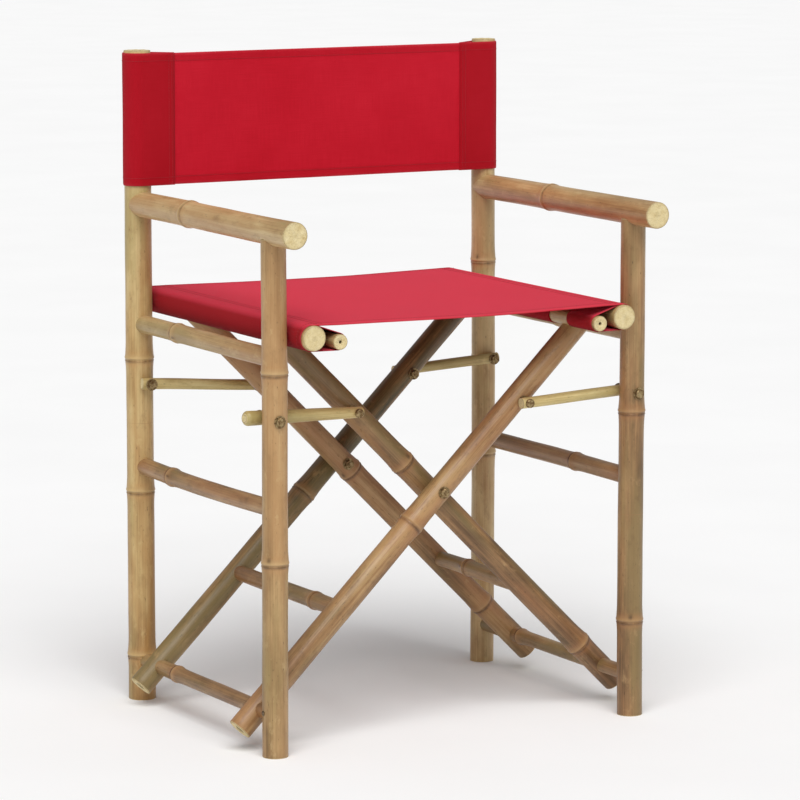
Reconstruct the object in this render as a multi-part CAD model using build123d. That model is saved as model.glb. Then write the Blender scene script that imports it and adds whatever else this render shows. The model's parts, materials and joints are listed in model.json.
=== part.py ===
"""Folding director chair of bamboo poles with a canvas seat and back.

Millimetres. +Z is up, the sitter faces -Y, left is -X. The origin is on the floor,
under the centre of the chair's bounding box. Two upright side frames are joined by
two pairs of crossed legs, which turn on the bottom rods of the side frames.
"""
from build123d import *
import math
import os

# ---- driving dimensions -------------------------------------------------------------
frame_width = 530.0          # between the post axes, left to right
frame_depth = 402.0          # between the post axes, front to rear
chair_height = 880.0         # rear post tops
front_overhang = 61.0        # armrest end, ahead of the front post axis

rear_left_post_d = 36.5      # at the floor
rear_right_post_d = 33.4
rear_post_taper = 1.0
rear_post_bore_d = 13.0      # open end at the top
rear_post_bore_depth = 28.0
front_post_foot_d = 33.6
front_post_top_d = 32.2
front_post_bolt_d = 33.3     # across the post, between a stay bolt's washer and its bar
armrest_d = 35.0             # at the front end
armrest_taper = 1.5
armrest_z = 675.0
armrest_cope = 9.0           # front post top, below the armrest's axis
upper_rail_d = 24.0
upper_rail_z = 514.0
lower_rail_d = 22.5
lower_rail_z = 321.0
bottom_rod_d = 20.0
bottom_rod_z = 54.0

leg_d = 31.0                 # in the middle
leg_foot_d = 31.8
leg_top_d = 30.6
leg_bore_d = 12.0            # open end at the foot
leg_bore_depth = 20.0
leg_foot_length = 37.0       # past the bottom rod's axis
crossing_z = 316.0
leg_a_set_in = 50.0          # leg axis behind the post axis
leg_b_set_in = 83.0
stretcher_d = 22.0
stretcher_taper = 0.8
stretcher_drop = 205.0       # along the leg, from the crossing

seat_pole_d = 32.0
seat_pole_taper = 0.8
seat_pole_x = 228.0
seat_pole_overhang = 41.0    # past the post axes, front and rear
seat_rod_d = 20.0
seat_rod_x = 191.0
seat_rod_z = 535.0
seat_rod_bore_d = 4.0        # in the front end
seat_rod_bore_depth = 15.0

stay_d = 15.0
stay_tip_d = 14.4            # at the leg
stay_stub_d = 19.0           # thick end of the front left stay
stay_post_z = 435.0
stay_leg_x = 119.0
stay_leg_drop = 6.0          # below the leg's axis
stay_end = 9.0               # past each bolt
stay_stub = 32.0             # past the post's bolt, front left stay only

canvas_thickness = 1.2
canvas_gap = 0.3             # canvas to pole
seat_canvas_overhang = 36.0  # past the post axes, front and rear
leg_slot_width = 46.0        # opening in the tunnel for a leg
leg_slot_drop = 6.0          # its top, below the seat
leg_slot_reach = 4.0         # past the rod, and short of the pole's axis
leg_slot_depth = 40.0        # its bottom, below the rod's axis
leg_slot_margin = 4.0        # room round the leg itself
back_canvas_bottom = 700.0
back_canvas_top = 877.0
sleeve_flat_width = 65.0
panel_lap = 26.0             # how far the back panel reaches into each sleeve
flap_lift = 0.6              # the sleeve's rear flap at its seam, in canvas thicknesses

socket_gap = 6.0             # from a post's axis to the end of a rail inside it
running_clearance = 0.05     # radial, for a pivot
face_clearance = 0.4         # between faces that slide past each other
rest_clearance = 0.3         # between a washer and a leg that turns under it
slant_clearance = 2.2        # more room on the two stays that slant in plan

bolt_d = 6.0
bolt_head_d = 12.0
bolt_head_height = 4.0
bolt_head_rounding = 2.4
bolt_end = 2.0               # past the nut
stud_end = 1.0
nut_across_flats = 10.0
nut_height = 5.0
washer_d = 16.0
washer_thickness = 1.4
screw_d = 4.5
screw_head_d = 9.0
screw_head_height = 3.0
screw_sink = 1.2             # head below the pole's surface
screw_well = 4.0
screw_length = 75.0
nail_d = 3.0
nail_head_d = 6.0
nail_head_height = 1.0
nail_length = 30.0
nail_rise = 4.0              # above the bottom rod's axis
rear_nail_gap = 0.1          # under the nail's head

node_height = 1.3            # how far a bamboo node's ring stands out
node_half_width = 6.0

# ---- derived places -----------------------------------------------------------------
rear_overhang = rear_left_post_d / 2 + canvas_gap + canvas_thickness
pole_rear_overhang = max(rear_overhang, seat_pole_overhang)
depth_shift = (front_overhang - pole_rear_overhang) / 2
post_x = frame_width / 2
front_y = -frame_depth / 2 + depth_shift
rear_y = frame_depth / 2 + depth_shift
leg_angle = math.atan2(crossing_z - bottom_rod_z, post_x)
leg_cos = math.cos(leg_angle)
leg_sin = math.sin(leg_angle)
seat_pole_z = crossing_z + seat_pole_x * math.tan(leg_angle)
stay_leg_z = crossing_z + stay_leg_x * math.tan(leg_angle) - stay_leg_drop
leg_a_front_y = front_y + leg_a_set_in
leg_b_front_y = front_y + leg_b_set_in
leg_a_rear_y = rear_y - leg_a_set_in
leg_b_rear_y = rear_y - leg_b_set_in


# ---- shapes that repeat -------------------------------------------------------------
def bamboo(start, end, d_start, d_end=None, nodes=()):
    """A tapered bamboo pole between two points, with a raised ring at each node distance."""
    d_end = d_start if d_end is None else d_end
    axis = Vector(*end) - Vector(*start)
    length = axis.length

    def radius(along):
        return (d_start + (d_end - d_start) * along / length) / 2

    edges = [Line((0, 0, 0), (radius(0), 0, 0))]
    here = (radius(0), 0, 0)
    for node in nodes:
        below = (radius(node - node_half_width), 0, node - node_half_width)
        crest = (radius(node) + node_height, 0, node)
        above = (radius(node + node_half_width), 0, node + node_half_width)
        edges += [Line(here, below), ThreePointArc(below, crest, above)]
        here = above
    edges += [Line(here, (radius(length), 0, length))]
    edges += [Line((radius(length), 0, length), (0, 0, length))]
    edges += [Line((0, 0, length), (0, 0, 0))]
    solid = revolve(make_face(edges), Axis.Z, 360)
    return Plane(origin=start, z_dir=axis) * solid


def rod(start, end, diameter):
    """A plain cylinder between two points."""
    axis = Vector(*end) - Vector(*start)
    base = Plane(origin=start, z_dir=axis)
    return base * extrude(Circle(diameter / 2), amount=axis.length)


def prism(start, end, across_flats):
    """A hexagonal bar between two points."""
    axis = Vector(*end) - Vector(*start)
    base = Plane(origin=start, z_dir=axis)
    hexagon = RegularPolygon(across_flats / 2, 6, major_radius=False)
    return base * extrude(hexagon, amount=axis.length)


def along_y(x, y, z, reach):
    """The point that lies reach further along Y."""
    return (x, y + reach, z)


def dome_bolt(x, y, z, direction, shank):
    """A button-head bolt along Y: its head stands before y, its shank runs past it."""
    head = rod((x, y, z), along_y(x, y, z, -direction * bolt_head_height), bolt_head_d)
    crown = head.faces().sort_by(Axis.Y)[0 if direction > 0 else -1]
    head = fillet(crown.edges(), bolt_head_rounding)
    return head + rod((x, y, z), along_y(x, y, z, direction * shank), bolt_d)


def ring(x, y, z, direction):
    """A washer along Y, from y, round a bolt."""
    end = along_y(x, y, z, direction * washer_thickness)
    return rod((x, y, z), end, washer_d) - rod((x, y, z), end, bolt_d)


def nut(x, y, z, direction):
    """A hexagonal nut along Y, from y, round a bolt."""
    end = along_y(x, y, z, direction * nut_height)
    return prism((x, y, z), end, nut_across_flats) - rod((x, y, z), end, bolt_d)


def wood_screw(head_at, toward):
    """A countersunk screw with its head at head_at, and the well that its head is sunk in."""
    axis = (Vector(*toward) - Vector(*head_at)).normalized()
    base = Plane(origin=head_at, z_dir=axis)
    head = Solid.make_cone(screw_head_d / 2, screw_d / 2, screw_head_height)
    screw = base * head + rod(head_at, tuple(Vector(*head_at) + axis * screw_length), screw_d)
    well = rod(head_at, tuple(Vector(*head_at) - axis * screw_well), screw_head_d)
    return screw, well


def nail(x, y, z, direction):
    """A nail along X, its head on the face at x."""
    shank = rod((x, y, z), (x + direction * nail_length, y, z), nail_d)
    return shank + rod((x, y, z), (x - direction * nail_head_height, y, z), nail_head_d)


nodes = {}


def keep(name, *solids):
    """Names a sub-part made of one or more separate solids."""
    parts = [piece for solid in solids for piece in solid.solids()]
    nodes[name] = parts[0] if len(parts) == 1 else Compound(children=parts)


# ---- side frames --------------------------------------------------------------------
def side_frame(side, rear_d, marks):
    """One upright side frame; side is -1 for the left and 1 for the right."""
    name = "left" if side < 0 else "right"
    x = side * post_x
    rear = bamboo((x, rear_y, 0), (x, rear_y, chair_height), rear_d, rear_d - rear_post_taper,
                  marks["rear_post"])
    front = bamboo((x, front_y, 0), (x, front_y, armrest_z - armrest_cope), front_post_foot_d,
                   front_post_top_d, marks["front_post"])
    armrest = bamboo((x, front_y - front_overhang, armrest_z), (x, rear_y, armrest_z), armrest_d,
                     armrest_d - armrest_taper, marks["armrest"])

    def rail(z, diameter, rail_nodes):
        start = (x, rear_y - socket_gap, z)
        end = (x, front_y + socket_gap, z)
        return bamboo(start, end, diameter, diameter, rail_nodes)

    upper = rail(upper_rail_z, upper_rail_d, marks["upper_rail"])
    lower = rail(lower_rail_z, lower_rail_d, marks["lower_rail"])
    bottom = rail(bottom_rod_z, bottom_rod_d, ())
    bore_end = (x, rear_y, chair_height - rear_post_bore_depth)
    rear -= rod((x, rear_y, chair_height), bore_end, rear_post_bore_d)
    armrest -= rear
    front -= armrest

    arm_top = (x, front_y, armrest_z + armrest_d / 2 - screw_sink)
    arm_screw, arm_well = wood_screw(arm_top, (x, front_y, 0))
    back_face = (x, rear_y + rear_d / 2 - screw_sink, armrest_z)
    back_screw, back_well = wood_screw(back_face, (x, front_y, armrest_z))
    nail_z = bottom_rod_z + nail_rise
    rear_nail = nail(x + side * (rear_d / 2 + rear_nail_gap), rear_y, nail_z, -side)
    front_nail = nail(x + side * front_post_foot_d / 2, front_y, nail_z, -side)

    bolts = []
    nuts = []
    for y, diameter, inward in ((front_y, front_post_bolt_d, 1), (rear_y, rear_d, -1)):
        thick = stay_stub_d if side < 0 and inward > 0 else stay_d
        room = face_clearance + (2 * slant_clearance if side < 0 else face_clearance)
        face = y - inward * (diameter / 2 + washer_thickness)
        far = y + inward * (diameter / 2 + thick + room)
        shank = abs(far - face) + washer_thickness + nut_height + bolt_end
        bolts.append(dome_bolt(x, face, stay_post_z, inward, shank))
        nuts.append(ring(x, face, stay_post_z, inward))
        nuts.append(ring(x, far, stay_post_z, inward))
        nuts.append(nut(x, far + inward * washer_thickness, stay_post_z, inward))

    for piece in (upper, lower, bottom, rear_nail, back_screw, back_well, bolts[1]):
        rear -= piece
    for piece in (upper, lower, bottom, front_nail, arm_screw, bolts[0]):
        front -= piece
    for piece in (arm_screw, arm_well, back_screw):
        armrest -= piece
    bottom -= rear_nail
    bottom -= front_nail

    keep(name + "_rear_post", rear)
    keep(name + "_front_post", front)
    keep(name + "_armrest", armrest)
    keep(name + "_upper_rail", upper)
    keep(name + "_lower_rail", lower)
    keep(name + "_bottom_rod", bottom)
    keep(name + "_armrest_screws", arm_screw, back_screw)
    keep(name + "_rod_nails", rear_nail, front_nail)
    keep(name + "_stay_bolts", *bolts)
    keep(name + "_stay_nuts", *nuts)


# ---- crossed legs -------------------------------------------------------------------
def leg_pair(name, rise, front_leg_y, rear_leg_y, marks):
    """One rigid pair of legs; rise is 1 where they climb to the right and -1 to the left."""
    foot = (-rise * (post_x + leg_foot_length * leg_cos), bottom_rod_z - leg_foot_length * leg_sin)
    top = (rise * seat_pole_x, seat_pole_z)
    side = "right" if rise > 0 else "left"
    pole_front = front_y - seat_pole_overhang
    pole_rear = rear_y + seat_pole_overhang
    pole = bamboo((top[0], pole_front, top[1]), (top[0], pole_rear, top[1]), seat_pole_d,
                  seat_pole_d - seat_pole_taper)
    rod_x = rise * seat_rod_x
    thin = bamboo((rod_x, pole_front, seat_rod_z), (rod_x, pole_rear, seat_rod_z), seat_rod_d)
    thin -= rod((rod_x, pole_front, seat_rod_z), (rod_x, pole_front + seat_rod_bore_depth, seat_rod_z),
                seat_rod_bore_d)
    brace_x = -rise * stretcher_drop * leg_cos
    brace_z = crossing_z - stretcher_drop * leg_sin
    brace = bamboo((brace_x, front_leg_y + socket_gap, brace_z),
                   (brace_x, rear_leg_y - socket_gap, brace_z), stretcher_d,
                   stretcher_d - stretcher_taper, marks["stretcher"])

    legs = []
    screws = []
    wells = []
    studs = []
    stud_nuts = []
    for leg_y, inward, leg_nodes in ((front_leg_y, 1, marks["front"]), (rear_leg_y, -1, marks["rear"])):
        leg = bamboo((foot[0], leg_y, foot[1]), (top[0], leg_y, top[1]), leg_foot_d, leg_top_d,
                     leg_nodes)
        pivot = (-rise * post_x, leg_y - leg_d, bottom_rod_z)
        pivot_end = (pivot[0], leg_y + leg_d, bottom_rod_z)
        bore_end = (foot[0] + rise * leg_bore_depth * leg_cos, leg_y, foot[1] + leg_bore_depth * leg_sin)
        leg -= rod(pivot, pivot_end, bottom_rod_d + 2 * running_clearance)
        leg -= rod((foot[0], leg_y, foot[1]), bore_end, leg_bore_d)
        reach = seat_pole_d / 2 - screw_sink
        head = (top[0] + rise * reach * leg_cos, leg_y, top[1] + reach * leg_sin)
        screw, well = wood_screw(head, (foot[0], leg_y, foot[1]))
        wells.append(well)
        crest = leg_y - inward * leg_d / 2
        back = leg_y + inward * leg_d / 2
        stay_x = rise * stay_leg_x
        stud_y = back + inward * (washer_thickness + nut_height + stud_end)
        stud = rod((stay_x, crest, stay_leg_z), (stay_x, stud_y, stay_leg_z), bolt_d)
        hole = bolt_d if rise > 0 else bolt_d + 2 * running_clearance
        cross = rod((0, leg_y - leg_d, crossing_z), (0, leg_y + leg_d, crossing_z), hole)
        for piece in (pole, thin, brace, screw, stud, cross):
            leg -= piece
        legs.append(leg)
        screws.append(screw)
        studs.append(stud)
        seat = back + inward * rest_clearance
        stud_nuts.append(ring(stay_x, seat, stay_leg_z, inward))
        stud_nuts.append(nut(stay_x, seat + inward * washer_thickness, stay_leg_z, inward))
    for piece in screws + wells:
        pole -= piece

    keep(name + "_front", legs[0])
    keep(name + "_rear", legs[1])
    keep(name + "_stretcher", brace)
    keep(name + "_screws", *screws)
    keep(name + "_stay_studs", *studs)
    keep(name + "_stay_nuts", *stud_nuts)
    keep("seat_pole_" + side, pole)
    keep("seat_rod_" + side, thin)


def crossing_bolts():
    """The two bolts on which the leg pairs turn, with their washers and nuts."""
    bolts = []
    rings = []
    nuts = []
    for outer_y, inner_y, inward in ((leg_a_front_y, leg_b_front_y, 1), (leg_a_rear_y, leg_b_rear_y, -1)):
        head_face = outer_y - inward * (leg_d / 2 + rest_clearance + washer_thickness)
        between = outer_y + inward * (leg_b_set_in - leg_a_set_in - washer_thickness) / 2
        far = inner_y + inward * (leg_d / 2 + rest_clearance)
        shank = abs(far - head_face) + washer_thickness + nut_height + bolt_end
        bolts.append(dome_bolt(0, head_face, crossing_z, inward, shank))
        rings.append(ring(0, head_face, crossing_z, inward))
        rings.append(ring(0, between, crossing_z, inward))
        rings.append(ring(0, far, crossing_z, inward))
        nuts.append(nut(0, far + inward * washer_thickness, crossing_z, inward))
    keep("crossing_bolts", *bolts)
    keep("crossing_washers", *rings)
    keep("crossing_nuts", *nuts)


# ---- stays --------------------------------------------------------------------------
def stay(name, side, post_y, inward, leg_y, stub=False):
    """A thin bar from a post to the leg that leans toward it, and its bolt head at the leg."""
    thick = stay_stub_d if stub else stay_d
    slant = slant_clearance if side < 0 else 0
    post_r = (rear_left_post_d if side < 0 and inward < 0 else front_post_bolt_d) / 2
    post_reach = post_r + face_clearance + slant / 2 + thick / 2
    post_point = Vector(side * post_x, post_y + inward * post_reach, stay_post_z)
    leg_face = leg_y - inward * (leg_d / 2 + face_clearance + rest_clearance)
    bar_face = leg_face - inward * washer_thickness
    leg_point = Vector(side * stay_leg_x, bar_face - inward * (stay_d / 2 + slant), stay_leg_z)
    along = (leg_point - post_point).normalized()
    start = post_point - along * (stay_stub if stub else stay_end)
    end = leg_point + along * stay_end
    bar = bamboo(tuple(start), tuple(end), thick, stay_tip_d)
    hole_start = post_point - Vector(0, thick, 0)
    hole_end = post_point + Vector(0, thick, 0)
    post_hole = rod(tuple(hole_start), tuple(hole_end), bolt_d + 2 * running_clearance)
    head_face = leg_point.Y - inward * (stay_d / 2 + slant)
    shank = abs(bar_face - head_face) + washer_thickness
    bolt = dome_bolt(leg_point.X, head_face, leg_point.Z, inward, shank)
    bar -= post_hole
    bar -= bolt
    keep(name, bar)
    keep(name + "_bolt_head", bolt, ring(leg_point.X, bar_face, leg_point.Z, inward))


# ---- canvas -------------------------------------------------------------------------
def seat_canvas():
    """The seat: a flat top layer, with a tunnel sewn at each side round a seat pole and a rod."""
    pole_r = seat_pole_d / 2 + canvas_gap
    rod_r = seat_rod_d / 2 + canvas_gap
    top_z = seat_pole_z + pole_r
    front = front_y - seat_canvas_overhang
    depth = frame_depth + 2 * seat_canvas_overhang
    sheet_plane = Plane(origin=(0, front + depth, 0), x_dir=(1, 0, 0), z_dir=(0, -1, 0))
    reach_x = seat_pole_x - seat_rod_x
    reach_z = seat_pole_z - seat_rod_z
    slope = math.atan2(reach_z, reach_x)
    turn = math.pi / 2 + math.asin((pole_r - rod_r) / math.hypot(reach_x, reach_z))

    def tunnel_block(grow):
        """The right tunnel filled solid, grown by the canvas thickness."""

        def edge_point(x, z, radius, angle):
            return x + radius * math.cos(angle), z + radius * math.sin(angle)

        web = Polygon(
            edge_point(seat_rod_x, seat_rod_z, rod_r + grow, slope + turn),
            edge_point(seat_rod_x, seat_rod_z, rod_r + grow, slope - turn),
            edge_point(seat_pole_x, seat_pole_z, pole_r + grow, slope - turn),
            edge_point(seat_pole_x, seat_pole_z, pole_r + grow, slope + turn),
            align=None,
        )
        round_pole = Pos(seat_pole_x, seat_pole_z) * Circle(pole_r + grow)
        round_rod = Pos(seat_rod_x, seat_rod_z) * Circle(rod_r + grow)
        return extrude(sheet_plane * (round_pole + round_rod + web), amount=depth)

    tunnel = tunnel_block(canvas_thickness) - tunnel_block(0)
    flat = Pos(0, front + depth / 2, top_z + canvas_thickness / 2) * Box(
        2 * seat_pole_x, depth, canvas_thickness)
    canvas = flat + tunnel + mirror(tunnel, Plane.YZ)
    slot_inner_x = seat_rod_x - rod_r - leg_slot_reach
    slot_outer_x = seat_pole_x - leg_slot_reach
    slot_top = top_z - leg_slot_drop
    slot_bottom = seat_rod_z - leg_slot_depth
    slot = Box(slot_outer_x - slot_inner_x, leg_slot_width, slot_top - slot_bottom)
    slot_x = (slot_inner_x + slot_outer_x) / 2
    slot_z = (slot_top + slot_bottom) / 2
    for side, leg_rows in ((1, (leg_a_front_y, leg_a_rear_y)), (-1, (leg_b_front_y, leg_b_rear_y))):
        for leg_y in leg_rows:
            canvas -= Pos(side * slot_x, leg_y, slot_z) * slot
            foot = (-side * post_x, leg_y, bottom_rod_z)
            top = (side * seat_pole_x, leg_y, seat_pole_z)
            canvas -= rod(foot, top, leg_d + 2 * leg_slot_margin)
    keep("seat_canvas", canvas)


def sleeve(post_diameter):
    """The back canvas's right sleeve, round a post of this diameter."""

    def block(radius, inner_radius):
        """The sleeve filled solid out to a radius, with its flap laid on the panel."""
        seam = post_x + radius - sleeve_flat_width
        flap = Polygon(
            (seam, rear_y - radius),
            (post_x, rear_y - radius),
            (post_x, rear_y + radius),
            (seam, rear_y - inner_radius + canvas_thickness * flap_lift),
            align=None,
        )
        section = Pos(post_x, rear_y) * Circle(radius) + flap
        height = back_canvas_top - back_canvas_bottom
        return extrude(Pos(0, 0, back_canvas_bottom) * section, amount=height)

    inner = post_diameter / 2 + canvas_gap
    return block(inner + canvas_thickness, inner) - block(inner, inner)


def back_canvas():
    """The back: one panel with a sleeve sewn at each end, slipped over the rear posts."""
    left = mirror(sleeve(rear_left_post_d), Plane.YZ)
    right = sleeve(rear_right_post_d)
    left_y = rear_y - rear_left_post_d / 2 - canvas_gap - canvas_thickness
    right_y = rear_y - rear_right_post_d / 2 - canvas_gap - canvas_thickness
    seam = post_x - sleeve_flat_width + panel_lap
    panel_section = Polygon(
        (-seam, left_y),
        (seam, right_y),
        (seam, right_y + canvas_thickness),
        (-seam, left_y + canvas_thickness),
        align=None,
    )
    height = back_canvas_top - back_canvas_bottom
    panel = extrude(Pos(0, 0, back_canvas_bottom) * panel_section, amount=height)
    keep("back_canvas", left + right + panel)


# ---- the chair ----------------------------------------------------------------------
side_frame(-1, rear_left_post_d, {
    "rear_post": (62, 288, 468),
    "front_post": (252, 496),
    "armrest": (303,),
    "upper_rail": (119,),
    "lower_rail": (106,),
})
side_frame(1, rear_right_post_d, {
    "rear_post": (300, 572),
    "front_post": (130, 411),
    "armrest": (274,),
    "upper_rail": (210,),
    "lower_rail": (250,),
})
leg_pair("leg_a", 1, leg_a_front_y, leg_a_rear_y, {
    "front": (353,),
    "rear": (349,),
    "stretcher": (62,),
})
leg_pair("leg_b", -1, leg_b_front_y, leg_b_rear_y, {
    "front": (82, 461),
    "rear": (106, 395),
    "stretcher": (138,),
})
crossing_bolts()
stay("stay_front_left", -1, front_y, 1, leg_b_front_y, stub=True)
stay("stay_front_right", 1, front_y, 1, leg_a_front_y)
stay("stay_rear_left", -1, rear_y, -1, leg_b_rear_y)
stay("stay_rear_right", 1, rear_y, -1, leg_a_rear_y)
seat_canvas()
back_canvas()

os.makedirs("parts", exist_ok=True)
for node_name, shape in nodes.items():
    export_step(shape, "parts/" + node_name + ".step")
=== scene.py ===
"""Looks for the folding director chair: bamboo poles, canvas seat and back, steel fasteners.

Everything is in metres, in the CAD frame: X to the right, Y from front to back, Z up.
"""
import json
import math

import bpy
import numpy as np
from mathutils import Matrix, Vector, noise

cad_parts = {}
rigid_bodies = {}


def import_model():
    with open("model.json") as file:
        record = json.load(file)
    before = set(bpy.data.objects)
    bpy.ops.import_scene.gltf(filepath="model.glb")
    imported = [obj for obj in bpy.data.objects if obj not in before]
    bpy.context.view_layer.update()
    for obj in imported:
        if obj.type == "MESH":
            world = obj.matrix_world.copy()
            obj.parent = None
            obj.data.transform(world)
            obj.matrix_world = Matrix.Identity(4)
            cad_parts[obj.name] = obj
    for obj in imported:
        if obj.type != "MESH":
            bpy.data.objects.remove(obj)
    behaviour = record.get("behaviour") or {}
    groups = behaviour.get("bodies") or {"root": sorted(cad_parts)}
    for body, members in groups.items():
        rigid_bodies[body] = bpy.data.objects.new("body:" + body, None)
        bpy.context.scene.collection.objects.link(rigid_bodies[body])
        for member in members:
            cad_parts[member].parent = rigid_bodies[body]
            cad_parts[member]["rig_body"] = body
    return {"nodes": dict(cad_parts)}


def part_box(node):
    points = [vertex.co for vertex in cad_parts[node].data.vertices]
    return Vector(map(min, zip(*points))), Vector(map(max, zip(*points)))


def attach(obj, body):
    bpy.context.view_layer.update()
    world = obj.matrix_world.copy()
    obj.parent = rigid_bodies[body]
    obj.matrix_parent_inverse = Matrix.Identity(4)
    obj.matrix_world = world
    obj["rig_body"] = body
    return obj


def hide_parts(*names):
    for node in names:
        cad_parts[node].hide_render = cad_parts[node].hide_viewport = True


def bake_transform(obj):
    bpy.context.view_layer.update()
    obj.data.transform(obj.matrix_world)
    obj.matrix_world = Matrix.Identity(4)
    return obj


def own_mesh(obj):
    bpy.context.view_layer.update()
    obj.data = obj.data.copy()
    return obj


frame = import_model()
NODES = frame["nodes"]
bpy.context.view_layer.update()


# ---- small helpers ------------------------------------------------------------------
def smooth(low, high, value):
    """0 below low, 1 above high, and a smooth step between."""
    share = np.clip((value - low) / (high - low), 0.0, 1.0)
    return share * share * (3.0 - 2.0 * share)


def bump(distance, width):
    """A bell of height 1 at distance 0."""
    return np.exp(-((distance / width) ** 2))


def middle(node):
    """The middle of a CAD node's box."""
    low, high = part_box(node)
    return (low + high) / 2


def make_object(name, points, faces, materials, slots=None, attributes=None):
    """A mesh object with smooth faces, material slots and point attributes."""
    mesh = bpy.data.meshes.new(name)
    mesh.from_pydata([tuple(p) for p in points], [], faces)
    for material in materials:
        mesh.materials.append(material)
    if slots is not None:
        mesh.polygons.foreach_set("material_index", np.asarray(slots, np.int32))
    mesh.polygons.foreach_set("use_smooth", np.ones(len(mesh.polygons), bool))
    for key, values in (attributes or {}).items():
        values = np.asarray(values, np.float32)
        kind = "FLOAT_VECTOR" if values.ndim == 2 else "FLOAT"
        field = "vector" if values.ndim == 2 else "value"
        layer = mesh.attributes.new(key, kind, "POINT")
        layer.data.foreach_set(field, values.ravel())
    mesh.validate()
    mesh.update()
    obj = bpy.data.objects.new(name, mesh)
    bpy.context.scene.collection.objects.link(obj)
    return obj


# ---- material helpers ---------------------------------------------------------------
class Graph:
    """A node material under construction."""

    def __init__(self, name):
        self.material = bpy.data.materials.new(name)
        self.material.use_nodes = True
        self.nodes = self.material.node_tree.nodes
        self.links = self.material.node_tree.links
        self.shader = self.nodes["Principled BSDF"]

    def set(self, socket, value):
        """Sets one of the shader's own sockets."""
        self.shader.inputs[socket].default_value = value

    def add(self, kind, inputs=None, **settings):
        """Adds a node; each input is a value, or a socket that it is linked to."""
        node = self.nodes.new(kind)
        for key, value in settings.items():
            setattr(node, key, value)
        for key, value in (inputs or {}).items():
            if isinstance(value, bpy.types.NodeSocket):
                self.links.new(value, node.inputs[key])
            else:
                node.inputs[key].default_value = value
        return node

    def attribute(self, name, output="Fac"):
        """The named point attribute as a number, or as a vector."""
        return self.add("ShaderNodeAttribute", attribute_name=name).outputs[output]

    def math(self, operation, a, b=0.0):
        """A sum, product or other operation on two numbers."""
        return self.add("ShaderNodeMath", {0: a, 1: b}, operation=operation).outputs[0]

    def stretch(self, vector, scale):
        """A vector with each axis scaled."""
        return self.add("ShaderNodeMapping", {"Vector": vector, "Scale": scale}).outputs[0]

    def noise(self, vector, scale, detail=3.0, roughness=0.55):
        """Noise from 0 to 1."""
        inputs = {"Vector": vector, "Scale": scale, "Detail": detail, "Roughness": roughness}
        return self.add("ShaderNodeTexNoise", inputs).outputs["Fac"]

    def ramp(self, factor, *stops):
        """A colour ramp through (position, colour) stops; a grey stop is a single number."""
        node = self.add("ShaderNodeValToRGB", {"Fac": factor})
        elements = node.color_ramp.elements
        while len(elements) < len(stops):
            elements.new(1.0)
        for element, (position, colour) in zip(elements, stops):
            element.position = position
            grey = isinstance(colour, (int, float))
            element.color = (colour, colour, colour, 1) if grey else (*colour, 1)
        return node.outputs["Color"]

    def mix(self, factor, a, b, blend_type="MIX"):
        """Two colours mixed."""
        node = self.add("ShaderNodeMix", data_type="RGBA", blend_type=blend_type)
        for index, value in ((0, factor), (6, a), (7, b)):
            if isinstance(value, bpy.types.NodeSocket):
                self.links.new(value, node.inputs[index])
            else:
                node.inputs[index].default_value = value if index == 0 else (*value, 1)
        return node.outputs[2]

    def colour(self, socket):
        """Drives the shader's base colour."""
        self.links.new(socket, self.shader.inputs["Base Color"])

    def roughness(self, socket):
        """Drives the shader's roughness."""
        self.links.new(socket, self.shader.inputs["Roughness"])

    def relief(self, height, distance, strength=1.0):
        """Bump of this real depth, in metres."""
        inputs = {"Height": height, "Distance": distance, "Strength": strength}
        node = self.add("ShaderNodeBump", inputs)
        self.links.new(node.outputs["Normal"], self.shader.inputs["Normal"])


def srgb(red, green, blue):
    """A colour given as 0 to 255 screen values, in the linear values that nodes use."""
    def channel(value):
        value = value / 255
        return value / 12.92 if value <= 0.04045 else ((value + 0.055) / 1.055) ** 2.4
    return channel(red), channel(green), channel(blue)


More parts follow.
